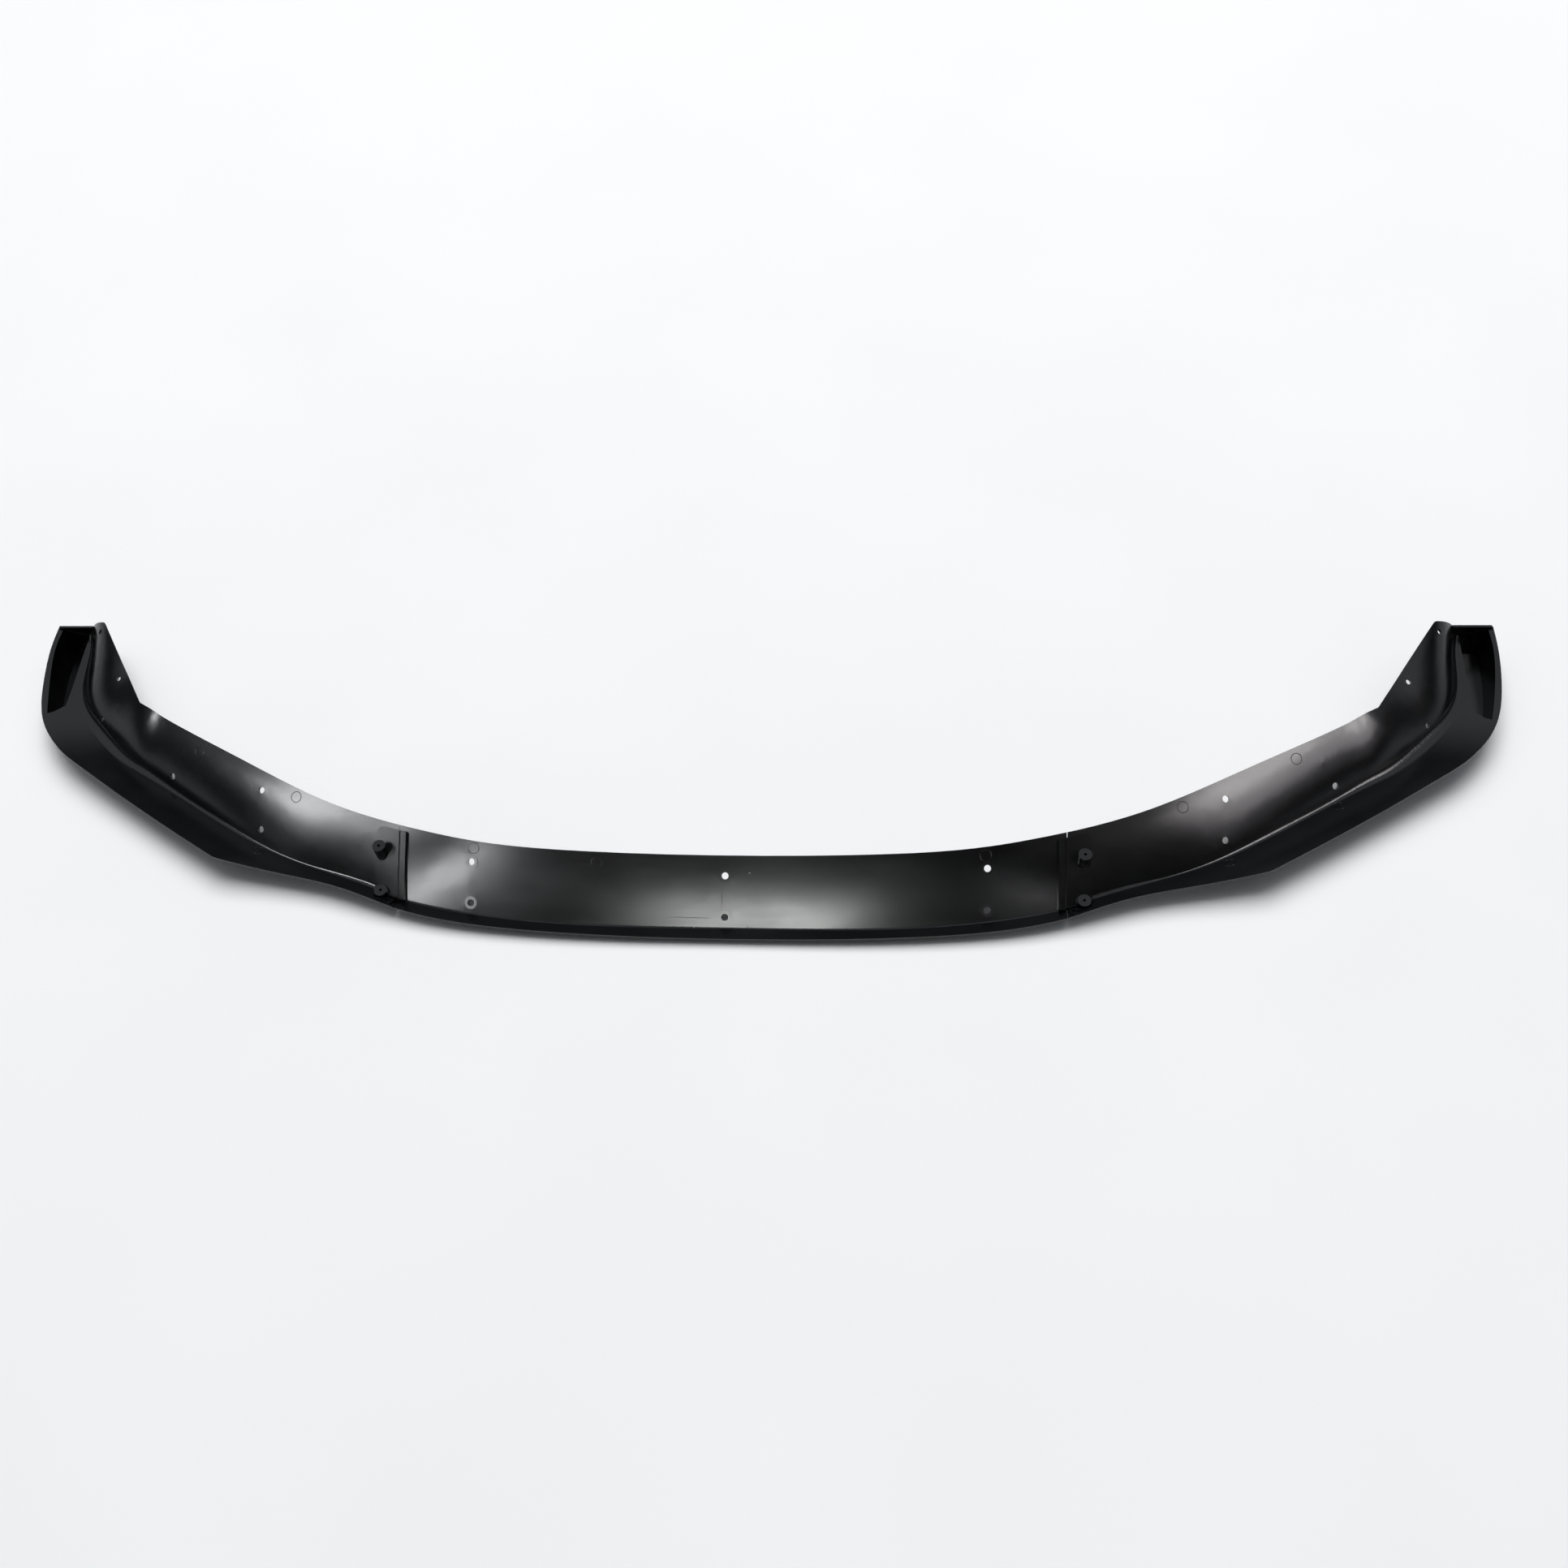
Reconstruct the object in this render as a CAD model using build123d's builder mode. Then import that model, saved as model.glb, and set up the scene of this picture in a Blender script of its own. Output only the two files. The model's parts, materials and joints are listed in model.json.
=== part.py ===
"""Front bumper lip spoiler: a centre moulding and two side mouldings, screwed together at overlap joints.

Millimetres. X runs across the car, Y rearward, Z up. The lip lies as it rests on a floor: the keel
touches Z = 0 at the middle, the winglets touch it at both ends, and Y = 0 is half-way along the depth.
"""
import os
from dataclasses import dataclass, replace
from math import atan2, cos, hypot, radians, sin, sqrt

from build123d import *

# Sheet and frame
WALL = 3.0
DATUM_SETBACK = 194.55  # keel at the centre line, ahead of the frame's Y = 0

# Overlap joint between the centre and a side moulding
SEAM_X = 386.0
SEAM_GAP = 0.8
TONGUE_REACH = 28.0
TONGUE_WALL = 2.6
TONGUE_CLEARANCE = 0.55
TONGUE_TOP_MARGIN = 5.0  # tongue stops short of the flange's top edge
TONGUE_TOE = 3.0  # tongue runs past the crease on to the blade
TONGUE_CORNER_R = 9.0
STEP_WIDTH = 9.5  # from the seam in to where the tongue steps up
INSET = 1.0  # beads stop inside the plate's outline
BEAD_HEIGHT = 1.5
INNER_BEAD_WIDTH = 4.0
OUTER_BEAD_WIDTH = 2.2

# Screw bosses on the tongue and the screws in them
BOSS_OD = 15.4
BOSS_REACH = 19.0  # boss axes, outboard of the seam
UPPER_BOSS_Y = 72.5
UPPER_BOSS_TOP = 56.0
UPPER_SEAT_Z = 29.0
UPPER_SCREW_LENGTH = 19.0
LOWER_BOSS_Y = 33.5
LOWER_BOSS_TOP = 21.0
LOWER_SEAT_Z = 7.0
LOWER_SCREW_LENGTH = 9.5
PILOT_D = 3.4
PILOT_CLEARANCE = 0.05  # screw shank to pilot hole, on radius
SHANK_HOLE_D = 4.6
SCREW_PAD_D = 11.0
HEAD_D = 7.6
HEAD_HEIGHT = 2.4
POINT_LENGTH = 3.0
RECESS_WIDTH = 1.0
RECESS_SPAN = 4.0
RECESS_DEPTH = 1.3

# Latch rib on the blade beside the seam
LATCH_RIB = 2.0
LATCH_HEIGHT = 3.0
LATCH_LENGTH = 24.0
LATCH_HOOK = (8.0, 4.0)
LATCH_SEAM_MARGIN = 4.5
LATCH_EDGE_MARGIN = 5.5  # rib, in from the blade's outer edge

# Fixings to the bumper
FIXING_D = 8.0
END_FIXING_D = 6.5
RIM_OD = 15.0
RIM_HEIGHT = 0.8
CENTRE_FIXING_RUNS = (10.5, 50.0)  # up the flange from the crease, measured level
SIDE_PAIR_RUNS = (15.0, 54.5)
SINGLE_FIXING_RUN = 11.7
VALLEY_FIXING_RUN = 9.5
LOW_TAB_FIXING_RUN = 51.5
TOP_TAB_FIXING_RUN = 25.0

# Plan outline of the right half, from the keel at the centre line
UPPER_EDGE = [(0.0, 70.0), (170.0, 72.5), (291.0, 82.3), (SEAM_X, 102.5), (468.0, 127.0), (594.0, 186.0)]
TAB_CORNER = (747.5, 270.5)
TAB_TIP = (829.5, 396.0)
TAB_TIP_R = 11.0
TAB_FOOT_X = 855.5
REAR_Y = 406.5
END_X = 905.0
END_EDGE = [(902.0, 324.0), (884.0, 262.0), (848.0, 218.0)]
CHEEK_REAR = (831.0, 204.5)
CHEEK = (715.0, 129.0)
CHIN_CORNER = (609.0, 64.5)
CHIN_CORNER_R = 25.0
OUTER_EDGE = [(543.0, 52.0), (462.0, 36.0), (SEAM_X, 11.5), (271.0, -8.6), (170.0, -15.0), (0.0, -17.4)]
TRIM = 6.0  # sheet is moulded this far past the outline, then trimmed to it

# Hollow winglet under the end of the blade: the mouth of its pocket in plan from the keel
POCKET_NOSE = (876.0, 277.0)
POCKET_SHOULDER = (864.5, 290.0)
POCKET_INNER_X = 865.0
POCKET_OUTER_X = 900.0
POCKET_FLANK = (897.8, 333.0)
POCKET_FRONT = (884.5, 272.0)
WINGLET_DRAFT = 7.0  # degrees
WINGLET_MOUTH_Z = 50.0  # above every edge of the mouth
WINGLET_EDGE_R = 3.0
END_WALL_TOP_Z = 48.0
END_WALL_DEPTH = 16.0
END_WALL_FOOT_X = 857.0


@dataclass(frozen=True)
class Station:
    """One cross-section of the lip: where its crease lies and how far each leaf reaches from it.

    Places are measured from the keel at the centre line. Runs are level, rises go up.
    """

    x: float
    y: float
    lift: float  # underside of the crease, above the floor
    turn: float  # plan angle of the section plane
    lead: float  # plan angle of the lip's own course
    band_run: float  # flange behind the crease
    band_rise: float
    bow: float  # outward bow of the flange
    blade_run: float  # leaf in front of the crease
    blade_rise: float
    bend: float  # inside radius of the crease

    def mirrored(self) -> "Station":
        """The same section on the other side of the car."""
        return replace(self, x=-self.x, turn=-self.turn, lead=-self.lead)

    def plane(self) -> Plane:
        """Section plane: local x runs inboard from the crease, local y up."""
        t = radians(self.turn)
        origin = (self.x, self.y - DATUM_SETBACK, self.lift + self.keel_depth())
        return Plane(origin=origin, x_dir=(-sin(t), cos(t), 0), z_dir=(cos(t), sin(t), 0))

    def bow_circle(self) -> tuple[Vector, float]:
        """Centre and radius of the flange's bowed upper face."""
        chord = hypot(self.band_run, self.band_rise)
        radius = (chord**2 / 4 + self.bow**2) / (2 * self.bow)
        outward = Vector(-self.band_rise, self.band_run) / chord
        middle = Vector(self.band_run, self.band_rise) / 2
        return middle - outward * (radius - self.bow), radius

    def blade_axes(self) -> tuple[Vector, Vector]:
        """Unit vectors along the blade and out of its upper face."""
        along = Vector(-self.blade_run, self.blade_rise).normalized()
        return along, Vector(along.Y, -along.X)

    def band(self, run: float, height: float = 0) -> Vector:
        """Point at a height over the flange, at a level distance from the crease."""
        centre, radius = self.bow_circle()
        spoke = Vector(run - centre.X, sqrt(radius**2 - (run - centre.X) ** 2))
        return centre + spoke * ((radius + height) / radius)

    def crease(self, height: float = 0) -> Vector:
        """Where flange and blade meet when both faces are raised by a height."""
        centre, radius = self.bow_circle()
        along, out = self.blade_axes()
        start = out * height - centre
        half = along.dot(start)
        reach = sqrt(half**2 - start.dot(start) + (radius + height) ** 2)
        return out * height + along * (reach - half)

    def edge(self, height: float = 0) -> Vector:
        """Outer edge of the blade when its face is raised by a height."""
        return Vector(-self.blade_run, self.blade_rise) + self.blade_axes()[1] * height

    def keel_depth(self) -> float:
        """How far the rounded underside hangs below the sharp inner crease."""
        centre, _ = self.bow_circle()
        steep = atan2(centre.X, -centre.Y)
        flat = atan2(self.blade_rise, self.blade_run)
        return self.bend + WALL - self.bend * (sin(steep) + sin(flat)) / sin(steep + flat)

    def face_plane(self, point: Vector, out: Vector) -> Plane:
        """Plane on a face: local x follows the lip outboard, z stands straight out of the face."""
        section = self.plane()
        uphill = section.x_dir * out.Y - section.y_dir * out.X
        course = Vector(cos(radians(self.lead)), sin(radians(self.lead)), 0)
        return Plane(section.from_local_coords(point), x_dir=course, z_dir=course.cross(uphill))

    def band_plane(self, run: float) -> Plane:
        """Face plane on the flange, at a level distance from the crease."""
        centre, radius = self.bow_circle()
        return self.face_plane(self.band(run), (self.band(run) - centre) / radius)

    def blade_plane(self, edge_margin: float) -> Plane:
        """Face plane on the blade, at a distance in from its outer edge."""
        along, out = self.blade_axes()
        length = hypot(self.blade_run, self.blade_rise)
        return self.face_plane(along * (length - edge_margin), out)


TONGUE_END_X = SEAM_X + TONGUE_REACH
MIDDLE = Station(0, 0, 0, 0, 0, 70, 45, 1, 17.4, 7.4, 2)
QUARTER = Station(150, 1, 0.5, 0, 3, 70.3, 46, 1, 17, 9.3, 2)
CENTRE_PAIR = Station(297, 12, 3.4, 0, 9, 70, 45.5, 1.2, 19, 9.6, 2.2)
SEAM = Station(SEAM_X, 28, 8, 0, 18, 74, 43, 2, 16, 8.2, 2.5)
NECK = Station(470, 59, 11.8, 0, 20, 68, 43.5, 3, 24, 13.6, 3)
SIDE_PAIR = Station(565.5, 95, 13, 0, 25, 76, 48, 4, 52, 22.8, 3)
HAUNCH = Station(650, 143.8, 13.7, 5, 31, 70, 49.4, 4.7, 56, 22.8, 5)
SINGLE = Station(698, 173.5, 14, 10, 32, 67, 50, 5, 52, 21.3, 6)
SHOULDER = Station(740, 199.8, 15.2, 22, 33, 63, 51.5, 5.5, 49, 21.2, 9)
CORNER = Station(780, 227, 16.7, 36.7, 34, 61, 51.5, 6, 47.5, 20.9, 12)
VALLEY = Station(818, 263, 19.3, 47, 47, 72, 48.5, 7, 54, 17.8, 14)
LOW_TAB = Station(832, 283, 20.8, 58.8, 53, 72, 47.5, 8, 55, 16.6, 14)
FIN_ROOT = Station(845, 299, 22, 70, 62, 76, 46, 8.5, 50, 14, 12)
FIN = Station(856, 342, 25, 83, 78, 66, 44, 9, 48, 14.5, 7)
TOP_TAB = Station(860, 384, 28, 88, 86, 47, 42, 8, 45, 16, 4)
REAR_END = Station(863, 430, 31.6, 90, 88, 36, 41, 7, 42, 16, 3)

CENTRE_HALF = [QUARTER, CENTRE_PAIR, SEAM, NECK]
CENTRE_RUN = [s.mirrored() for s in reversed(CENTRE_HALF)] + [MIDDLE] + CENTRE_HALF
END_RUN = [CORNER, VALLEY, FIN_ROOT, FIN, TOP_TAB, REAR_END]
SIDE_RUN = [CENTRE_PAIR, SEAM, NECK, SIDE_PAIR, HAUNCH, SINGLE, SHOULDER, *END_RUN]
JOINT_RUN = SIDE_RUN[:6]
CENTRE_FIXING_STATIONS = [CENTRE_PAIR.mirrored(), MIDDLE, CENTRE_PAIR]
BOSS_X = SEAM_X + BOSS_REACH
FAR = 60.0  # longer than any wall is thick


def sheet_section(at: Station, raised: float = 0) -> Sketch:
    """Section of the moulded sheet before trimming, its upper face raised for a clearance."""
    top, middle = at.band_run + TRIM, at.band_run / 2
    ahead = at.blade_axes()[0] * TRIM
    with BuildSketch(at.plane()) as section:
        with BuildLine():
            ThreePointArc(at.band(top, raised), at.band(middle, raised), at.crease(raised))
            Polyline(at.crease(raised), at.edge(raised) + ahead, at.edge(-WALL) + ahead, at.crease(-WALL))
            ThreePointArc(at.crease(-WALL), at.band(middle, -WALL), at.band(top, -WALL))
            Line(at.band(top, -WALL), at.band(top, raised))
        make_face()
        fillet(section.vertices().sort_by_distance(at.crease(raised))[0], at.bend - raised)
        fillet(section.vertices().sort_by_distance(at.crease(-WALL))[0], at.bend + WALL)
    return section.sketch


def layer_section(at: Station, low: float, high: float, margin: float, toe: float) -> Sketch:
    """Section of a layer over the flange and crease, between two heights from the upper face."""
    top, middle = at.band_run - margin, at.band_run / 2
    ahead = at.blade_axes()[0] * toe
    with BuildSketch(at.plane()) as section:
        with BuildLine():
            ThreePointArc(at.band(top, high), at.band(middle, high), at.crease(high))
            Polyline(at.crease(high), at.crease(high) + ahead, at.crease(low) + ahead, at.crease(low))
            ThreePointArc(at.crease(low), at.band(middle, low), at.band(top, low))
            Line(at.band(top, low), at.band(top, high))
        make_face()
    return section.sketch


def joint_layer(inner_x: float, outer_x: float, low: float, high: float, margin: float, toe: float) -> Part:
    """Layer of the right-hand joint between two places across the car, following the sheet's faces."""
    with BuildPart() as layer:
        loft([layer_section(s, low, high, margin, toe) for s in JOINT_RUN])
        split(bisect_by=Plane.YZ.offset(inner_x), keep=Keep.TOP)
        split(bisect_by=Plane.YZ.offset(outer_x), keep=Keep.BOTTOM)
    return layer.part


def over_blade_section(at: Station) -> Sketch:
    """Section of the open space over the blade, from half-way through its wall."""
    crease, edge = at.crease(-WALL / 2), at.edge(-WALL / 2)
    ahead = at.blade_axes()[0] * WALL
    with BuildSketch(at.plane()) as section:
        with BuildLine():
            Polyline(crease, edge + ahead, edge + ahead + (0, FAR), crease + (0, FAR), close=True)
        make_face()
    return section.sketch


def plan_point(point: tuple[float, float]) -> tuple[float, float]:
    """Plan place in the frame, from one measured from the keel."""
    return point[0], point[1] - DATUM_SETBACK


STEP_X = SEAM_X - STEP_WIDTH
TONGUE_HIGH = TONGUE_CLEARANCE + TONGUE_WALL
TONGUE_MIDDLE = TONGUE_CLEARANCE + TONGUE_WALL / 2
PLATE_SINK = WALL / 4  # plate starts inside the centre moulding's own wall
BEAD_TOP = TONGUE_HIGH + BEAD_HEIGHT
BEAD_OUTLINE = (TONGUE_TOP_MARGIN + INSET, TONGUE_TOE - INSET)
UPPER_BOSS = plan_point((BOSS_X, UPPER_BOSS_Y))
LOWER_BOSS = plan_point((BOSS_X, LOWER_BOSS_Y))
SEATS = [(*UPPER_BOSS, UPPER_SEAT_Z), (*LOWER_BOSS, LOWER_SEAT_Z)]
STANDING = (Align.CENTER, Align.CENTER, Align.MIN)
HANGING = (Align.CENTER, Align.CENTER, Align.MAX)


def joint_screw(length: float) -> Part:
    """Pan-head self-tapping screw pointing up, the underside of its head at Z = 0."""
    shank = PILOT_D / 2 - PILOT_CLEARANCE
    with BuildPart() as screw:
        Cylinder(HEAD_D / 2, HEAD_HEIGHT, align=HANGING)
        fillet(screw.edges().sort_by(Axis.Z)[0], HEAD_HEIGHT / 2)
        for angle in (0, 90):
            with Locations(Location((0, 0, -HEAD_HEIGHT), (0, 0, angle))):
                Box(RECESS_SPAN, RECESS_WIDTH, RECESS_DEPTH, align=STANDING, mode=Mode.SUBTRACT)
        Cylinder(shank, length - POINT_LENGTH, align=STANDING)
        with Locations((0, 0, length - POINT_LENGTH)):
            Cone(shank, shank / 4, POINT_LENGTH, align=STANDING)
    return screw.part


# Plan outline of the right half, drawn below the part so that it can be swept up through it
with BuildSketch(Plane.XY.offset(-FAR)) as half_plan:
    with BuildLine():
        rear_corner = plan_point((END_X, REAR_Y))
        Spline([plan_point(p) for p in [*UPPER_EDGE, TAB_CORNER]], tangents=[(1, 0), (0.85, 0.53)])
        Polyline(plan_point(TAB_CORNER), plan_point(TAB_TIP), plan_point((TAB_FOOT_X, REAR_Y)), rear_corner)
        end_edge = [plan_point(p) for p in [*END_EDGE, CHEEK_REAR]]
        Spline([rear_corner, *end_edge], tangents=[(0, -1), (-0.83, -0.56)])
        ThreePointArc(plan_point(CHEEK_REAR), plan_point(CHEEK), plan_point(CHIN_CORNER))
        Spline([plan_point(p) for p in [CHIN_CORNER, *OUTER_EDGE]], tangents=[(-0.98, -0.2), (-1, 0)])
        Line(plan_point(OUTER_EDGE[-1]), plan_point(UPPER_EDGE[0]))
    make_face()
    fillet(half_plan.vertices().sort_by_distance(plan_point(TAB_TIP))[0], TAB_TIP_R)
    fillet(half_plan.vertices().sort_by_distance(plan_point(CHIN_CORNER))[0], CHIN_CORNER_R)

# Tongue of the right-hand joint: a plate over the side moulding with two upright screw bosses
with BuildPart() as plate:
    add(joint_layer(STEP_X + INSET, TONGUE_END_X, -PLATE_SINK, TONGUE_HIGH, TONGUE_TOP_MARGIN, TONGUE_TOE))
    thickness = TONGUE_HIGH + PLATE_SINK
    top_corners = plate.edges().filter_by(lambda e: abs(e.length - thickness) < thickness / 50)
    fillet(top_corners.sort_by(Axis.X)[-1], TONGUE_CORNER_R)

with BuildPart() as side_clearance:
    loft([sheet_section(s, TONGUE_CLEARANCE) for s in SIDE_RUN])
    split(bisect_by=Plane.YZ.offset(SEAM_X - SEAM_GAP / 2), keep=Keep.TOP)

with BuildPart() as tongue:
    with Locations((*UPPER_BOSS, UPPER_BOSS_TOP), (*LOWER_BOSS, LOWER_BOSS_TOP)):
        Cylinder(BOSS_OD / 2, FAR, align=HANGING)
    add(joint_layer(SEAM_X, TONGUE_END_X, -FAR, TONGUE_MIDDLE, -FAR / 4, FAR), mode=Mode.SUBTRACT)
    add(plate.part)
    add(side_clearance.part, mode=Mode.SUBTRACT)
    add(joint_layer(STEP_X, STEP_X + INNER_BEAD_WIDTH, -WALL / 2, BEAD_TOP, *BEAD_OUTLINE))
    bead_end_x = SEAM_X + SEAM_GAP
    add(joint_layer(bead_end_x - OUTER_BEAD_WIDTH, bead_end_x, TONGUE_MIDDLE, BEAD_TOP, *BEAD_OUTLINE))
    with Locations(*SEATS):
        Cylinder(PILOT_D / 2, FAR, align=STANDING, mode=Mode.SUBTRACT)

# Pads that give the screw heads a level seat under the sloping flange
with BuildPart() as pads:
    with Locations(*SEATS):
        Cylinder(SCREW_PAD_D / 2, FAR, align=STANDING)
    add(joint_layer(SEAM_X, TONGUE_END_X, -WALL / 2, FAR, -FAR / 4, FAR), mode=Mode.SUBTRACT)

# Hollow winglet under the end of the right-hand blade
with BuildSketch(Plane.XY.offset(WINGLET_MOUTH_Z)) as pocket_mouth:
    with BuildLine():
        rear = REAR_Y - WALL
        ThreePointArc(plan_point((POCKET_OUTER_X, rear)), plan_point(POCKET_FLANK), plan_point(POCKET_FRONT))
        Polyline(
            plan_point(POCKET_FRONT),
            plan_point(POCKET_NOSE),
            plan_point(POCKET_SHOULDER),
            plan_point((POCKET_INNER_X, rear)),
            plan_point((POCKET_OUTER_X, rear)),
        )
    make_face()

with BuildPart() as winglet:
    with BuildSketch(Plane.XY.offset(WINGLET_MOUTH_Z)):
        add(pocket_mouth.sketch_local)
        offset(amount=WALL, kind=Kind.INTERSECTION)
    extrude(amount=-WINGLET_MOUTH_Z, taper=WINGLET_DRAFT)
    fillet(winglet.faces().sort_by(Axis.Z)[0].edges(), WINGLET_EDGE_R)
    loft([over_blade_section(s) for s in END_RUN], mode=Mode.SUBTRACT)

# Right-hand moulding
with BuildPart() as right_section:
    loft([sheet_section(s) for s in SIDE_RUN])
    split(bisect_by=Plane.YZ.offset(SEAM_X + SEAM_GAP / 2), keep=Keep.TOP)
    extrude(half_plan.sketch, amount=3 * FAR, mode=Mode.INTERSECT)
    add(winglet.part)
    with Locations((*plan_point((END_WALL_FOOT_X, REAR_Y)), END_WALL_TOP_Z)):
        end_wall_width = POCKET_OUTER_X + WALL - END_WALL_FOOT_X
        Box(end_wall_width, WALL, END_WALL_DEPTH, align=(Align.MIN, Align.MAX, Align.MAX))
    extrude(pocket_mouth.sketch, amount=WALL - WINGLET_MOUTH_Z, taper=WINGLET_DRAFT, mode=Mode.SUBTRACT)
    add(pads.part)
    with BuildSketch(SEAM.blade_plane(LATCH_EDGE_MARGIN).offset(-WALL / 2)):
        with BuildLine():
            Polyline(
                (LATCH_SEAM_MARGIN + LATCH_HOOK[0] + LATCH_LENGTH, 0),
                (LATCH_SEAM_MARGIN + LATCH_HOOK[0], 0),
                (LATCH_SEAM_MARGIN + LATCH_HOOK[0], LATCH_HOOK[1]),
                (LATCH_SEAM_MARGIN, LATCH_HOOK[1]),
                (LATCH_SEAM_MARGIN, LATCH_RIB - LATCH_EDGE_MARGIN),
            )
        trace(line_width=LATCH_RIB)
    extrude(amount=LATCH_HEIGHT + WALL / 2)
    pair_fixings = [SIDE_PAIR.band_plane(run) for run in SIDE_PAIR_RUNS]
    with Locations(*pair_fixings, SINGLE.band_plane(SINGLE_FIXING_RUN)):
        Cylinder(FIXING_D / 2, FAR / 3, mode=Mode.SUBTRACT)
    with Locations(
        VALLEY.band_plane(VALLEY_FIXING_RUN),
        LOW_TAB.band_plane(LOW_TAB_FIXING_RUN),
        TOP_TAB.band_plane(TOP_TAB_FIXING_RUN),
    ):
        Cylinder(END_FIXING_D / 2, FAR / 3, mode=Mode.SUBTRACT)
    with Locations(*SEATS):
        Cylinder(SHANK_HOLE_D / 2, FAR / 2, align=STANDING, mode=Mode.SUBTRACT)

# Left-hand moulding: the mirror image of the right
with BuildPart() as left_section:
    mirror(right_section.part, about=Plane.YZ)

# Centre moulding, with a tongue at each end
with BuildPart() as centre_section:
    loft([sheet_section(s) for s in CENTRE_RUN])
    split(bisect_by=Plane.YZ.offset(SEAM_X - SEAM_GAP / 2), keep=Keep.BOTTOM)
    split(bisect_by=Plane.YZ.offset(SEAM_GAP / 2 - SEAM_X), keep=Keep.TOP)
    with BuildSketch(Plane.XY.offset(-FAR)):
        add(half_plan.sketch_local)
        mirror(half_plan.sketch_local, about=Plane.YZ)
    extrude(amount=3 * FAR, mode=Mode.INTERSECT)
    add(tongue.part)
    mirror(tongue.part, about=Plane.YZ)
    fixings = [s.band_plane(run) for s in CENTRE_FIXING_STATIONS for run in CENTRE_FIXING_RUNS]
    with Locations(*[fixing.offset(-WALL / 2) for fixing in fixings]):
        Cylinder(RIM_OD / 2, WALL / 2 + RIM_HEIGHT, align=STANDING)
    with Locations(*fixings):
        Cylinder(FIXING_D / 2, FAR / 3, mode=Mode.SUBTRACT)

# Joint screws, one of each kind at either seam
with BuildPart() as upper_joint_screws:
    with Locations((*UPPER_BOSS, UPPER_SEAT_Z), (-UPPER_BOSS[0], UPPER_BOSS[1], UPPER_SEAT_Z)):
        add(joint_screw(UPPER_SCREW_LENGTH))

with BuildPart() as lower_joint_screws:
    with Locations((*LOWER_BOSS, LOWER_SEAT_Z), (-LOWER_BOSS[0], LOWER_BOSS[1], LOWER_SEAT_Z)):
        add(joint_screw(LOWER_SCREW_LENGTH))

os.makedirs("parts", exist_ok=True)
centre_section.part.label = "centre_section"
export_step(centre_section.part, "parts/centre_section.step")
right_section.part.label = "right_section"
export_step(right_section.part, "parts/right_section.step")
left_section.part.label = "left_section"
export_step(left_section.part, "parts/left_section.step")
upper_joint_screws.part.label = "upper_joint_screws"
export_step(upper_joint_screws.part, "parts/upper_joint_screws.step")
lower_joint_screws.part.label = "lower_joint_screws"
export_step(lower_joint_screws.part, "parts/lower_joint_screws.step")
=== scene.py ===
"""Looks of a front bumper lip spoiler: plastic, screws, moulding marks, floor, lights and camera.

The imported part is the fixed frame. Everything is in metres, X across the car, Y rearward, Z up.
"""
from __future__ import annotations

import json
import logging
import math
from dataclasses import dataclass
from enum import Enum
from typing import Any

import bpy
from mathutils import Matrix, Vector

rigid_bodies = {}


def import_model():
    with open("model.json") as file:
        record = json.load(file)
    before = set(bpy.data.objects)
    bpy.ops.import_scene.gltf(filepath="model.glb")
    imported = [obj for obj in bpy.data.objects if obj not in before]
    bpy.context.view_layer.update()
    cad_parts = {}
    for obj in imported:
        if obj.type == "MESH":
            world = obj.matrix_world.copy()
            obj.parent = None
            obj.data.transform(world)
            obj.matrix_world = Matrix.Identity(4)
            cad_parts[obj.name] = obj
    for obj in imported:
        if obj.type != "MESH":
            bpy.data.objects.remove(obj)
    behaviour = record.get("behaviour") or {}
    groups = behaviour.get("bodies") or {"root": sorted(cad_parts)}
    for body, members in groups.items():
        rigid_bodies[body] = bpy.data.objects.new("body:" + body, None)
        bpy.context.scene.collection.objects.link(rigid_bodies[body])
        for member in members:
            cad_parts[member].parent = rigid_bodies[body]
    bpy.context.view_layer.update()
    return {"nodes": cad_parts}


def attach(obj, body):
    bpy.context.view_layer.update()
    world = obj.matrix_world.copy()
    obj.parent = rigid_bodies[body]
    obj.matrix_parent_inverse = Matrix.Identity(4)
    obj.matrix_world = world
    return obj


LOG = logging.getLogger("lip_spoiler")
MM = 0.001
POLYPROPYLENE_IOR = 1.49
NOISE_MIDDLE = (0.35, 0.65)  # most values of a noise texture lie between these
FACING = "facing"  # attribute that holds the way a surface looks
RING_SIDES = 40
BEAD_SIDES = 8
NICK_SUBDIVISIONS = 2
Pixel = tuple[float, float]
Range = tuple[float, float]


class CadNode(str, Enum):
    """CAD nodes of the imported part."""

    CENTRE = "centre_section"
    LEFT = "left_section"
    RIGHT = "right_section"
    UPPER_SCREWS = "upper_joint_screws"
    LOWER_SCREWS = "lower_joint_screws"


MOULDINGS = (CadNode.CENTRE, CadNode.LEFT, CadNode.RIGHT)
SCREWS = (CadNode.UPPER_SCREWS, CadNode.LOWER_SCREWS)


def srgb(code: str) -> tuple[float, float, float, float]:
    """Turn an sRGB hex code into a linear colour.

    Args:
        code: Six hex digits.

    Returns:
        Linear red, green, blue and an alpha of one.
    """
    values = [int(code[i : i + 2], 16) / 255 for i in (0, 2, 4)]
    linear = [v / 12.92 if v <= 0.04045 else ((v + 0.055) / 1.055) ** 2.4 for v in values]
    return linear[0], linear[1], linear[2], 1.0


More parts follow.
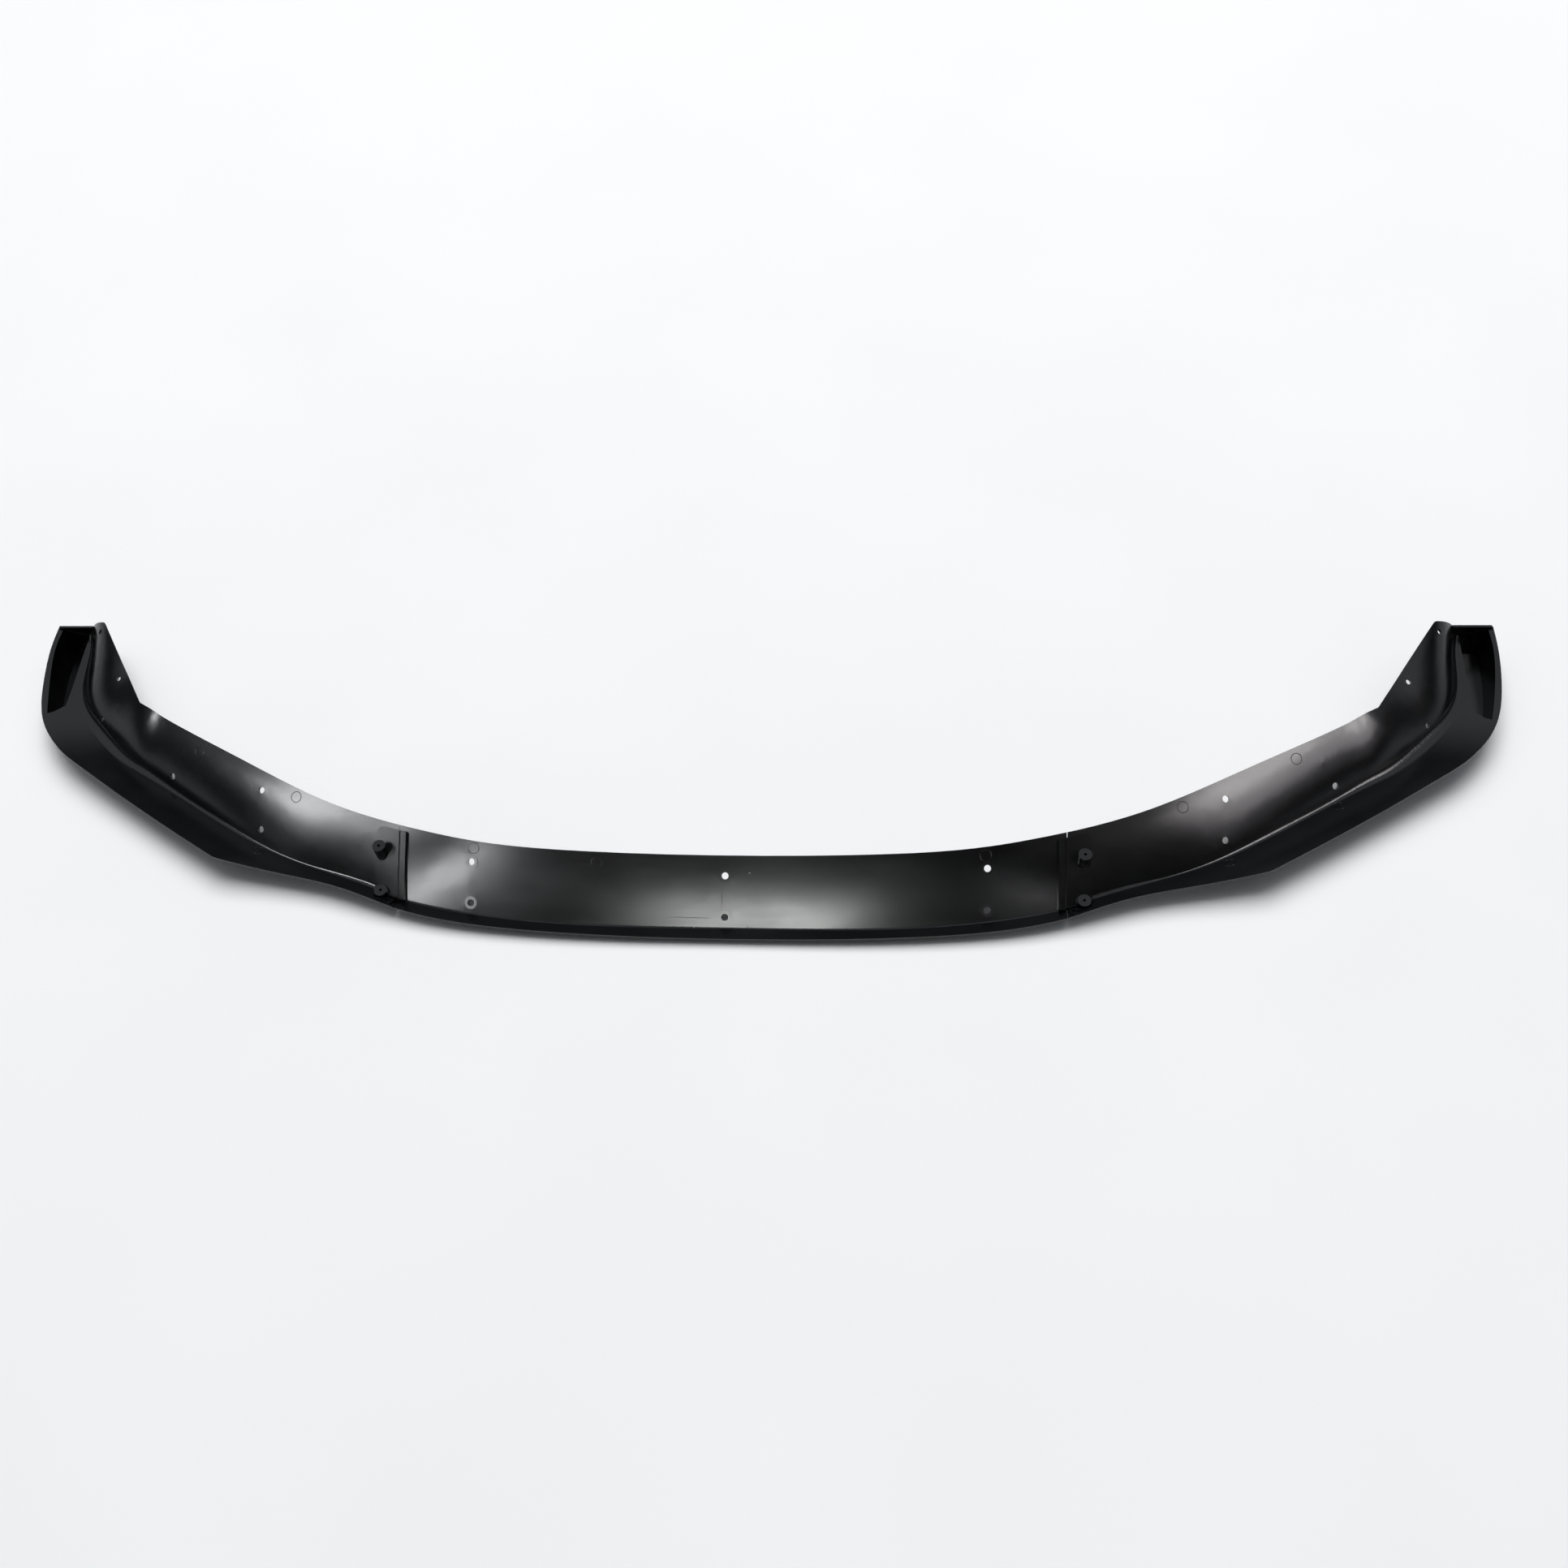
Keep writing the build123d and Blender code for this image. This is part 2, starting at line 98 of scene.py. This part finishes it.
def add_node(
    tree: bpy.types.NodeTree,
    kind: str,
    inputs: dict[Any, Any] | None = None,
    **settings: Any,
) -> bpy.types.Node:
    """Add a node, set it up and link or fill its inputs.

    Args:
        tree: Tree that gets the node.
        kind: Node type name.
        inputs: Input name or number to a value or to an output socket.
        settings: Properties of the node itself.

    Returns:
        The new node.
    """
    node = tree.nodes.new(kind)
    for name, value in settings.items():
        setattr(node, name, value)
    for key, value in (inputs or {}).items():
        if isinstance(value, bpy.types.NodeSocket):
            tree.links.new(value, node.inputs[key])
        else:
            node.inputs[key].default_value = value
    return node


@dataclass(frozen=True)
class PhotoCamera:
    """Camera that sees the lip as the photograph does.

    Attributes:
        place: Camera place in the frame.
        heading: Degrees of the view from +Y towards +X.
        elevation: Degrees of the view below the horizon.
        roll: Degrees of turn about the view.
        focal_px: Focal length in photograph pixels.
        frame_px: Side of the square photograph in pixels.
    """

    place: tuple[float, float, float]
    heading: float
    elevation: float
    roll: float
    focal_px: float
    frame_px: float

    def axes(self) -> tuple[Vector, Vector, Vector]:
        """Work out the camera's own directions.

        Returns:
            Right, up and forward unit vectors.
        """
        heading, elevation, roll = map(math.radians, (self.heading, self.elevation, self.roll))
        flat = math.cos(elevation)
        forward = Vector((math.sin(heading) * flat, math.cos(heading) * flat, -math.sin(elevation)))
        level = forward.cross(Vector((0, 0, 1))).normalized()
        upright = level.cross(forward)
        right = level * math.cos(roll) + upright * math.sin(roll)
        return right, right.cross(forward), forward

    def ray(self, pixel: Pixel) -> Vector:
        """Find the direction in which a pixel of the photograph looks.

        Args:
            pixel: Column and row in the photograph.

        Returns:
            Unit direction from the camera.
        """
        right, up, forward = self.axes()
        across = (pixel[0] - self.frame_px / 2) / self.focal_px
        down = (pixel[1] - self.frame_px / 2) / self.focal_px
        return (forward + right * across - up * down).normalized()

    def make(self) -> bpy.types.Object:
        """Make the Blender camera and use it for the scene.

        Returns:
            The camera object.
        """
        data = bpy.data.cameras.new("photo_camera")
        data.lens = data.sensor_width * self.focal_px / self.frame_px
        right, up, forward = self.axes()
        camera = bpy.data.objects.new("photo_camera", data)
        turn = Matrix((right, up, -forward)).transposed().to_4x4()
        camera.matrix_world = Matrix.Translation(Vector(self.place)) @ turn
        bpy.context.scene.collection.objects.link(camera)
        bpy.context.scene.camera = camera
        return camera


PHOTO_CAMERA = PhotoCamera(
    place=(0.2379, -1.0724, 1.6242),
    heading=-9.578,
    elevation=56.055,
    roll=-7.486,
    focal_px=2000.0,
    frame_px=1932.0,
)


@dataclass(frozen=True)
class SurfacePoint:
    """A place on a moulding and the way its face looks."""

    place: Vector
    normal: Vector


@dataclass(frozen=True)
class CadPieces:
    """CAD pieces that share a finish.

    Attributes:
        objects: The pieces' objects.
    """

    objects: tuple[bpy.types.Object, ...]

    def dress(self, material: bpy.types.Material) -> None:
        """Give the pieces a material in place of their packed one.

        Args:
            material: Their material.
        """
        for piece in self.objects:
            for slot in piece.material_slots:
                slot.material = material
            LOG.info("%s: %s", piece.name, material.name)


@dataclass(frozen=True)
class Mouldings(CadPieces):
    """The three plastic mouldings, as seen from the photograph's camera.

    Attributes:
        camera: Camera that pixels are looked up with.
    """

    camera: PhotoCamera

    def seen_at(self, pixel: Pixel) -> SurfacePoint | None:
        """Find what a pixel of the photograph shows.

        Args:
            pixel: Column and row in the photograph.

        Returns:
            The nearest point of the mouldings, or None where the pixel misses them.
        """
        start, way = Vector(self.camera.place), self.camera.ray(pixel)
        hits = [body.ray_cast(start, way) for body in self.objects]
        points = [SurfacePoint(place, normal) for hit, place, normal, _ in hits if hit]
        return min(points, key=lambda point: (point.place - start).length, default=None)


@dataclass(frozen=True)
class Pattern:
    """Noise of a real size, on Object coordinates.

    Attributes:
        grain_mm: Grain size along X, Y and Z in millimetres.
        octaves: Octaves of the noise.
    """

    grain_mm: tuple[float, float, float]
    octaves: float

    def between(self, tree: bpy.types.NodeTree, low: float, high: float) -> bpy.types.NodeSocket:
        """Add the pattern to a tree, spread over a range.

        Args:
            tree: Tree that gets the nodes.
            low: Value at the pattern's low places.
            high: Value at its high places.

        Returns:
            The pattern's value.
        """
        place = add_node(tree, "ShaderNodeTexCoord").outputs["Object"]
        scale = [1 / (size * MM) for size in self.grain_mm]
        real = add_node(tree, "ShaderNodeMapping", {"Vector": place, "Scale": scale})
        inputs = {"Vector": real.outputs[0], "Scale": 1.0, "Detail": self.octaves}
        noise = add_node(tree, "ShaderNodeTexNoise", inputs)
        inputs = {
            "Value": noise.outputs["Fac"],
            "From Min": NOISE_MIDDLE[0],
            "From Max": NOISE_MIDDLE[1],
            "To Min": low,
            "To Max": high,
        }
        return add_node(tree, "ShaderNodeMapRange", inputs).outputs[0]

    def tint(self, tree: bpy.types.NodeTree, low: str, high: str) -> bpy.types.NodeSocket:
        """Add the pattern to a tree as a mix of two colours.

        Args:
            tree: Tree that gets the nodes.
            low: Hex colour of the pattern's low places.
            high: Hex colour of its high places.

        Returns:
            The mixed colour.
        """
        share = self.between(tree, 0, 1)
        inputs = {"Factor": share, "A": srgb(low), "B": srgb(high)}
        return add_node(tree, "ShaderNodeMix", inputs, data_type="RGBA").outputs["Result"]


def new_material(name: str) -> tuple[bpy.types.Material, bpy.types.NodeTree]:
    """Start an empty node material.

    Args:
        name: Material name.

    Returns:
        The material and its empty tree.
    """
    material = bpy.data.materials.new(name)
    material.use_nodes = True
    material.node_tree.nodes.clear()
    return material, material.node_tree


def finish_material(tree: bpy.types.NodeTree, shader: dict[str, Any]) -> None:
    """End a material's tree with its shader.

    Args:
        tree: The material's tree.
        shader: Inputs of the shader.
    """
    surface = add_node(tree, "ShaderNodeBsdfPrincipled", shader).outputs[0]
    add_node(tree, "ShaderNodeOutputMaterial", {"Surface": surface})


@dataclass(frozen=True)
class MouldedPlastic:
    """Satin black polypropylene, injection moulded in a smooth tool.

    Attributes:
        deep: Colour of the clean skin.
        hazy: Colour where the skin is duller.
        haze: Broad clouds of gloss where the melt cooled unevenly.
        haze_roughness: Roughness between the clouds and in them.
        flow: Lines that the melt drew along the part.
        flow_roughness: Roughness that the lines add.
        flow_bump: Strength of the lines' relief.
        flow_height: Height of the lines.
        grain: Tool grain. The real one is about 0.2 mm and is drawn coarser, so that it shows.
        grain_bump: Strength of the grain's relief.
        grain_height: Height of the grain.
    """

    deep: str = "040405"
    hazy: str = "090a0b"
    haze: Pattern = Pattern((90, 50, 50), 4)
    haze_roughness: Range = (0.19, 0.22)
    flow: Pattern = Pattern((120, 2.4, 2.4), 3)
    flow_roughness: Range = (-0.006, 0.01)
    flow_bump: float = 0.004
    flow_height: float = 0.1 * MM
    grain: Pattern = Pattern((1.1, 1.1, 1.1), 2)
    grain_bump: float = 0.03
    grain_height: float = 0.05 * MM

    def make(self) -> bpy.types.Material:
        """Make the material.

        Returns:
            The material.
        """
        # Near black to the eye, with broad soft highlights that the clouds and the grain break up
        material, tree = new_material("black_moulded_polypropylene")
        clouds = self.haze.between(tree, *self.haze_roughness)
        lines = self.flow.between(tree, *self.flow_roughness)
        gloss = add_node(tree, "ShaderNodeMath", {0: clouds, 1: lines}, operation="ADD")
        inputs = {
            "Height": self.flow.between(tree, 0, 1),
            "Strength": self.flow_bump,
            "Distance": self.flow_height,
        }
        drawn = add_node(tree, "ShaderNodeBump", inputs)
        inputs = {
            "Height": self.grain.between(tree, 0, 1),
            "Strength": self.grain_bump,
            "Distance": self.grain_height,
            "Normal": drawn.outputs[0],
        }
        skin = add_node(tree, "ShaderNodeBump", inputs)
        shader = {
            "Base Color": self.haze.tint(tree, self.deep, self.hazy),
            "Roughness": gloss.outputs[0],
            "IOR": POLYPROPYLENE_IOR,
            "Normal": skin.outputs[0],
        }
        finish_material(tree, shader)
        return material


@dataclass(frozen=True)
class WhitenedAndPaintedGlintPlastic:
    """The same plastic where a knock has whitened it; its pale grey is also a painted highlight of the
    light that the burrs catch.

    Attributes:
        dull: Colour of the torn skin.
        white: Colour of the whitened fibres, and also of the painted highlight on the burrs.
        tear: Grain of the tear.
        roughness: Roughness of the torn skin and of the fibres.
    """

    dull: str = "4a4c4d"
    # this pale grey stands for whitening and also paints the highlight that the burrs catch
    white: str = "9a9c9c"
    tear: Pattern = Pattern((0.6, 0.6, 0.6), 3)
    roughness: Range = (0.6, 0.8)

    def make(self) -> bpy.types.Material:
        """Make the material.

        Returns:
            The material.
        """
        # Chalky grey flecks with no gloss: whitened plastic, and a painted highlight where light catches
        # the burrs
        material, tree = new_material("whitened_and_painted_glint_polypropylene")
        shader = {
            "Base Color": self.tear.tint(tree, self.dull, self.white),
            "Roughness": self.tear.between(tree, *self.roughness),
            "IOR": POLYPROPYLENE_IOR,
        }
        finish_material(tree, shader)
        return material


@dataclass(frozen=True)
class ZincSteel:
    """Bright zinc plate on the steel of the joint screws.

    Attributes:
        dark: Colour between the crystals.
        light: Colour of the crystals.
        cloud: Cloudiness of the plating.
        roughness: Roughness between the crystals and on them.
    """

    dark: str = "8e9092"
    light: str = "b4b5b3"
    cloud: Pattern = Pattern((2, 2, 2), 4)
    roughness: Range = (0.28, 0.42)

    def make(self) -> bpy.types.Material:
        """Make the material.

        Returns:
            The material.
        """
        # A cool satin metal with cloudy reflections
        material, tree = new_material("zinc_plated_steel")
        shader = {
            "Base Color": self.cloud.tint(tree, self.dark, self.light),
            "Metallic": 1.0,
            "Roughness": self.cloud.between(tree, *self.roughness),
        }
        finish_material(tree, shader)
        return material


@dataclass(frozen=True)
class StudioPaper:
    """Matt white paper that the lip lies on.

    Attributes:
        shade: Colour of its darker fibres.
        light: Colour of its lighter fibres.
        cloud: Unevenness of the sheet.
        roughness: Roughness of the sheet.
        specular: Level of its faint sheen.
    """

    shade: str = "f3f3f3"
    light: str = "f5f5f5"
    cloud: Pattern = Pattern((400, 400, 400), 2)
    roughness: float = 0.9
    specular: float = 0.1

    def make(self) -> bpy.types.Material:
        """Make the material.

        Returns:
            The material.
        """
        # Plain and pale, with next to no sheen
        material, tree = new_material("white_studio_paper")
        shader = {
            "Base Color": self.cloud.tint(tree, self.shade, self.light),
            "Roughness": self.roughness,
            "Specular IOR Level": self.specular,
        }
        finish_material(tree, shader)
        return material


class NodeShape:
    """A geometry node tree with named sizes, and the plain mesh piece that it leaves."""

    def __init__(self, name: str, sizes: dict[str, float], material: bpy.types.Material) -> None:
        """Start the tree with a geometry input and one input for each size.

        Args:
            name: Name of the tree and of the piece.
            sizes: Input name to size in metres.
            material: Material of the piece.
        """
        self.name = name
        self.material = material
        self.tree = bpy.data.node_groups.new(name, "GeometryNodeTree")
        face = self.tree.interface
        face.new_socket("Geometry", in_out="INPUT", socket_type="NodeSocketGeometry")
        face.new_socket("Geometry", in_out="OUTPUT", socket_type="NodeSocketGeometry")
        self.values: dict[str, float] = {}
        for label, size in sizes.items():
            socket = face.new_socket(label, in_out="INPUT", socket_type="NodeSocketFloat")
            self.values[socket.identifier] = size
        self.start = add_node(self.tree, "NodeGroupInput")

    def facing(self) -> bpy.types.NodeSocket:
        """Add the turn that sets a shape upright on the surface under each point.

        Returns:
            The rotation.
        """
        kind = "GeometryNodeInputNamedAttribute"
        way = add_node(self.tree, kind, {"Name": FACING}, data_type="FLOAT_VECTOR")
        inputs = {"Vector": way.outputs["Attribute"]}
        return add_node(self.tree, "FunctionNodeAlignRotationToVector", inputs, axis="Z").outputs[0]

    def tube(self, path: bpy.types.NodeSocket) -> bpy.types.NodeSocket:
        """Add a round bead along a path, as thick as the tree's Bead Radius.

        Args:
            path: Curve that the bead follows.

        Returns:
            The bead's mesh.
        """
        inputs = {"Resolution": BEAD_SIDES, "Radius": self.start.outputs["Bead Radius"]}
        profile = add_node(self.tree, "GeometryNodeCurvePrimitiveCircle", inputs).outputs[0]
        inputs = {"Curve": path, "Profile Curve": profile, "Fill Caps": True}
        return add_node(self.tree, "GeometryNodeCurveToMesh", inputs).outputs[0]

    def piece(self, geometry: bpy.types.NodeSocket, seats: bpy.types.Mesh) -> bpy.types.Object:
        """End the tree, run it over a mesh and keep the result as a piece that rides on the part.

        Args:
            geometry: What the tree makes.
            seats: Mesh that the tree starts from.

        Returns:
            The piece.
        """
        real = add_node(self.tree, "GeometryNodeRealizeInstances", {"Geometry": geometry})
        inputs = {"Geometry": real.outputs[0], "Material": self.material}
        dressed = add_node(self.tree, "GeometryNodeSetMaterial", inputs)
        add_node(self.tree, "NodeGroupOutput", {0: dressed.outputs[0]})
        piece = bpy.data.objects.new(self.name, seats)
        bpy.context.scene.collection.objects.link(piece)
        maker = piece.modifiers.new(self.name, "NODES")
        maker.node_group = self.tree
        for key, value in self.values.items():
            maker[key] = value
        graph = bpy.context.evaluated_depsgraph_get()
        mesh = bpy.data.meshes.new_from_object(piece.evaluated_get(graph))
        piece.modifiers.remove(maker)
        piece.data = mesh
        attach(piece, "root")
        LOG.info("%s: %d faces", self.name, len(mesh.polygons))
        return piece


@dataclass(frozen=True)
class MouldMarks:
    """Marks of the mould and of handling on the faces that the photograph shows, by photograph pixel.

    Attributes:
        mouldings: Mouldings that carry the marks.
        ring_radius: Radius of an ejector pin's ring.
        ring_bead: Half the width of its raised line.
        line_bead: Half the width of a parting or witness line.
        line_steps: Stretches that a line is laid on the surface in.
        nick_radius: Half the length of a nick, whose pale colour is whitening and a painted highlight.
        nick_shape: Length, width and height of a nick as shares of its length.
        rings: Middles of the ejector rings.
        lines: Ends of the parting and witness lines.
        nicks: Middles of the nicks.
    """

    mouldings: Mouldings
    ring_radius: float = 6.4 * MM
    ring_bead: float = 0.4 * MM
    line_bead: float = 0.25 * MM
    line_steps: int = 12
    nick_radius: float = 1.1 * MM
    nick_shape: tuple[float, float, float] = (1.0, 0.5, 0.3)
    rings: tuple[Pixel, ...] = (
        (246, 926),
        (1597.5, 935),
        (365, 982),
        (1457.5, 994.5),
        (583.5, 1045),
        (1214.4, 1054),
        (735, 1063),
        (1053.8, 1066),
        (894.3, 1063.6),
        (318, 1048),
        (1515.6, 1063),
        (1650, 993),
        (732, 1140),
    )
    lines: tuple[tuple[Pixel, Pixel], ...] = (
        ((889.5, 1088), (889.4, 1118)),
        ((521, 1028.5), (517.3, 1053.5)),
        ((831, 1130), (874, 1131.3)),
    )
    nicks: tuple[Pixel, ...] = ((855, 1142.7), (921, 1142.3), (923.6, 1075.7), (310, 968))

    def seats(self, name: str, pixels: tuple[Pixel, ...]) -> bpy.types.Mesh:
        """Find the surface under each pixel.

        Args:
            name: Name of the mesh.
            pixels: Places in the photograph.

        Returns:
            A mesh of loose points that know which way the surface faces.
        """
        found = [point for point in map(self.mouldings.seen_at, pixels) if point]
        mesh = bpy.data.meshes.new(name)
        mesh.from_pydata([point.place for point in found], [], [])
        facing = mesh.attributes.new(FACING, "FLOAT_VECTOR", "POINT")
        for value, point in zip(facing.data, found):
            value.vector = point.normal
        LOG.info("%s: %d of %d places found", name, len(found), len(pixels))
        return mesh

    def ejector_rings(self, material: bpy.types.Material) -> bpy.types.Object:
        """Make the ring that each ejector pin left.

        Args:
            material: Material of the rings.

        Returns:
            The rings as one piece.
        """
        sizes = {"Ring Radius": self.ring_radius, "Bead Radius": self.ring_bead}
        shape = NodeShape("ejector_rings", sizes, material)
        inputs = {"Resolution": RING_SIDES, "Radius": shape.start.outputs["Ring Radius"]}
        ring = add_node(shape.tree, "GeometryNodeCurvePrimitiveCircle", inputs).outputs[0]
        inputs = {
            "Points": shape.start.outputs["Geometry"],
            "Instance": shape.tube(ring),
            "Rotation": shape.facing(),
        }
        rings = add_node(shape.tree, "GeometryNodeInstanceOnPoints", inputs).outputs[0]
        return shape.piece(rings, self.seats("ejector_seats", self.rings))

    def parting_lines(self, material: bpy.types.Material) -> bpy.types.Object:
        """Make the fine raised lines that joints in the mould left.

        Args:
            material: Material of the lines.

        Returns:
            The lines as one piece.
        """
        places: list[Vector] = []
        edges: list[tuple[int, int]] = []
        shares = [step / self.line_steps for step in range(self.line_steps + 1)]
        for start, end in self.lines:
            pixels = [tuple(a + (b - a) * share for a, b in zip(start, end)) for share in shares]
            found = [point.place for point in map(self.mouldings.seen_at, pixels) if point]
            edges += [(len(places) + i, len(places) + i + 1) for i in range(len(found) - 1)]
            places += found
        paths = bpy.data.meshes.new("parting_paths")
        paths.from_pydata(places, edges, [])
        shape = NodeShape("parting_lines", {"Bead Radius": self.line_bead}, material)
        inputs = {"Mesh": shape.start.outputs["Geometry"]}
        curves = add_node(shape.tree, "GeometryNodeMeshToCurve", inputs).outputs[0]
        return shape.piece(shape.tube(curves), paths)

    def whitened_and_painted_glint_nicks(self, material: bpy.types.Material) -> bpy.types.Object:
        """Make the small burrs at the crease and beside the holes, pale with whitening and with a painted
        highlight of the light they catch.

        Args:
            material: Material of the nicks.

        Returns:
            The nicks as one piece.
        """
        shape = NodeShape("whitened_and_painted_glint_nicks", {"Nick Radius": self.nick_radius}, material)
        radius = shape.start.outputs["Nick Radius"]
        inputs = {"Radius": radius, "Subdivisions": NICK_SUBDIVISIONS}
        burr = add_node(shape.tree, "GeometryNodeMeshIcoSphere", inputs).outputs[0]
        inputs = {
            "Points": shape.start.outputs["Geometry"],
            "Instance": burr,
            "Rotation": shape.facing(),
            "Scale": self.nick_shape,
        }
        nicks = add_node(shape.tree, "GeometryNodeInstanceOnPoints", inputs).outputs[0]
        return shape.piece(nicks, self.seats("nick_seats", self.nicks))


@dataclass(frozen=True)
class Glint:
    """A soft box that shows as a bright patch on the plastic.

    Attributes:
        pixel: Where the photograph shows the patch.
        size: Width and height of the soft box in metres.
        power: Power in watts.
        colour: Hex colour of its light.
    """

    pixel: Pixel
    size: tuple[float, float]
    power: float
    colour: str


@dataclass(frozen=True)
class Studio:
    """Floor, lamps and room light of the picture.

    Attributes:
        mouldings: Mouldings that the soft boxes show on.
        paper: Material of the floor.
        floor_side: Side of the floor.
        box_distance: From the plastic to each soft box.
        ceiling_place: Where the ceiling light hangs.
        ceiling_side: Side of the ceiling light.
        ceiling_power: Its power in watts.
        room: Strength of the dim room's light.
        room_colour: Hex colour of the room's light.
        wall: Strength that the pale walls add all round the horizon.
        wall_fade: Upward share of a direction where the walls end, and where they are full.
        skylight: Strength that a pale ceiling adds overhead and behind the part.
        skylight_fade: Upward share of a direction where the ceiling starts, and where it is full.
        rear_fade: Rearward share of a direction where the ceiling starts, and where it is full.
        glints: Soft boxes that the photograph shows on the plastic.
    """

    mouldings: Mouldings
    paper: bpy.types.Material
    floor_side: float = 24.0
    box_distance: float = 2.2
    ceiling_place: tuple[float, float, float] = (0.0, 5.0, 11.0)
    ceiling_side: float = 9.0
    ceiling_power: float = 1320.0
    room: float = 0.035
    room_colour: str = "e9eff5"
    wall: float = 0.6
    wall_fade: Range = (0.32, 0.2)
    skylight: float = 0.75
    skylight_fade: Range = (0.5, 0.66)
    rear_fade: Range = (-0.35, 0.15)
    glints: tuple[Glint, ...] = (
        # Left flange: a bright box and two dimmer ones that soften its edge
        Glint((378, 990), (0.5, 0.7), 17.5, "f2f4f6"),
        Glint((374, 996), (0.6, 0.9), 5.0, "eef2f6"),
        Glint((362, 1018), (0.4, 1.2), 0.8, "e6eef6"),
        # Centre flange: a band by the left seam, a pool at the crease and a sliver by the right seam
        Glint((548, 1080), (0.12, 0.6), 8.0, "f2f4f6"),
        Glint((945, 1131), (0.42, 0.2), 8.0, "f3f6f4"),
        Glint((1280, 1106), (0.06, 0.2), 0.4, "f3f3f6"),
        # Right flange: three boxes, each wider and fainter than the one before
        Glint((1534, 956), (0.7, 0.6), 9.2, "f8f4f2"),
        Glint((1560, 952), (1.0, 1.1), 15.0, "f6f2f4"),
        Glint((1577, 955), (1.2, 1.55), 3.0, "f4eef6"),
    )

    def floor(self) -> bpy.types.Object:
        """Make the floor that the lip lies on.

        Returns:
            The floor object.
        """
        half = self.floor_side / 2
        corners = [(-half, -half, 0), (half, -half, 0), (half, half, 0), (-half, half, 0)]
        mesh = bpy.data.meshes.new("floor")
        mesh.from_pydata(corners, [], [(0, 1, 2, 3)])
        mesh.materials.append(self.paper)
        floor = bpy.data.objects.new("floor", mesh)
        bpy.context.scene.collection.objects.link(floor)
        return floor

    def lamp(
        self,
        name: str,
        place: Vector,
        target: Vector,
        size: tuple[float, float],
        power: float,
    ) -> bpy.types.Object:
        """Make a soft rectangular lamp.

        Args:
            name: Lamp name.
            place: Where it stands.
            target: What it shines at.
            size: Width and height.
            power: Power in watts.

        Returns:
            The lamp object.
        """
        data = bpy.data.lights.new(name, "AREA")
        data.shape = "RECTANGLE"
        data.size, data.size_y = size
        data.energy = power
        lamp = bpy.data.objects.new(name, data)
        lamp.location = place
        lamp.rotation_euler = (target - place).to_track_quat("-Z", "Y").to_euler()
        bpy.context.scene.collection.objects.link(lamp)
        return lamp

    def soft_boxes(self) -> None:
        """Stand each soft box where the camera sees it mirrored in the plastic, as a reflection alone."""
        eye = Vector(self.mouldings.camera.place)
        for number, glint in enumerate(self.glints):
            point = self.mouldings.seen_at(glint.pixel)
            if point is None:
                LOG.warning("soft box %d misses the part", number)
                continue
            way = (point.place - eye).normalized().reflect(point.normal)
            place = point.place + way * self.box_distance
            box = self.lamp(f"soft_box_{number}", place, point.place, glint.size, glint.power)
            box.data.color = srgb(glint.colour)[:3]
            box.visible_diffuse = False
            box.visible_camera = False

    def ceiling_light(self) -> None:
        """Hang the light that brightens the floor and the part, but shows in no reflection."""
        place, size = Vector(self.ceiling_place), (self.ceiling_side, self.ceiling_side)
        lamp = self.lamp("ceiling_light", place, Vector((0, 0, 0)), size, self.ceiling_power)
        lamp.visible_glossy = False

    def room_light(self) -> None:
        """Light the room: pale walls, a pale ceiling to the rear, and dimmer in between."""
        world = bpy.data.worlds.new("studio_room")
        world.use_nodes = True
        tree = world.node_tree
        tree.nodes.clear()
        way = add_node(tree, "ShaderNodeTexCoord").outputs["Generated"]
        axes = add_node(tree, "ShaderNodeSeparateXYZ", {0: way})
        fades = (
            ("Z", self.wall_fade, self.wall),
            ("Z", self.skylight_fade, self.skylight),
            ("Y", self.rear_fade, 1.0),
        )
        shares = []
        for axis, (start, end), full in fades:
            inputs = {"Value": axes.outputs[axis], "From Min": start, "From Max": end, "To Max": full}
            shares.append(add_node(tree, "ShaderNodeMapRange", inputs).outputs[0])
        walls, overhead, rearward = shares
        sides = add_node(tree, "ShaderNodeMath", {0: self.room, 1: walls}, operation="ADD")
        ceiling = add_node(tree, "ShaderNodeMath", {0: overhead, 1: rearward}, operation="MULTIPLY")
        inputs = {0: sides.outputs[0], 1: ceiling.outputs[0]}
        strength = add_node(tree, "ShaderNodeMath", inputs, operation="ADD").outputs[0]
        inputs = {"Color": srgb(self.room_colour), "Strength": strength}
        light = add_node(tree, "ShaderNodeBackground", inputs)
        add_node(tree, "ShaderNodeOutputWorld", {"Surface": light.outputs[0]})
        bpy.context.scene.world = world

    def make(self) -> None:
        """Make the whole studio."""
        self.floor()
        self.room_light()
        self.soft_boxes()
        self.ceiling_light()


def pick(nodes: dict[str, bpy.types.Object], names: tuple[CadNode, ...]) -> tuple[bpy.types.Object, ...]:
    """Take the objects of some CAD nodes.

    Args:
        nodes: Node name to object.
        names: Nodes to take.

    Returns:
        Their objects.
    """
    return tuple(nodes[name.value] for name in names)


def main() -> None:
    """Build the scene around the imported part."""
    logging.basicConfig(level=logging.INFO)
    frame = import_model()
    bpy.context.scene.view_settings.view_transform = "Standard"
    plastic = MouldedPlastic().make()
    mouldings = Mouldings(pick(frame["nodes"], MOULDINGS), PHOTO_CAMERA)
    mouldings.dress(plastic)
    CadPieces(pick(frame["nodes"], SCREWS)).dress(ZincSteel().make())
    PHOTO_CAMERA.make()
    marks = MouldMarks(mouldings)
    marks.ejector_rings(plastic)
    marks.parting_lines(plastic)
    # Nicks: whitened plastic, and a painted highlight on the burrs
    marks.whitened_and_painted_glint_nicks(WhitenedAndPaintedGlintPlastic().make())
    Studio(mouldings, StudioPaper().make()).make()


if __name__ == "__main__":
    main()
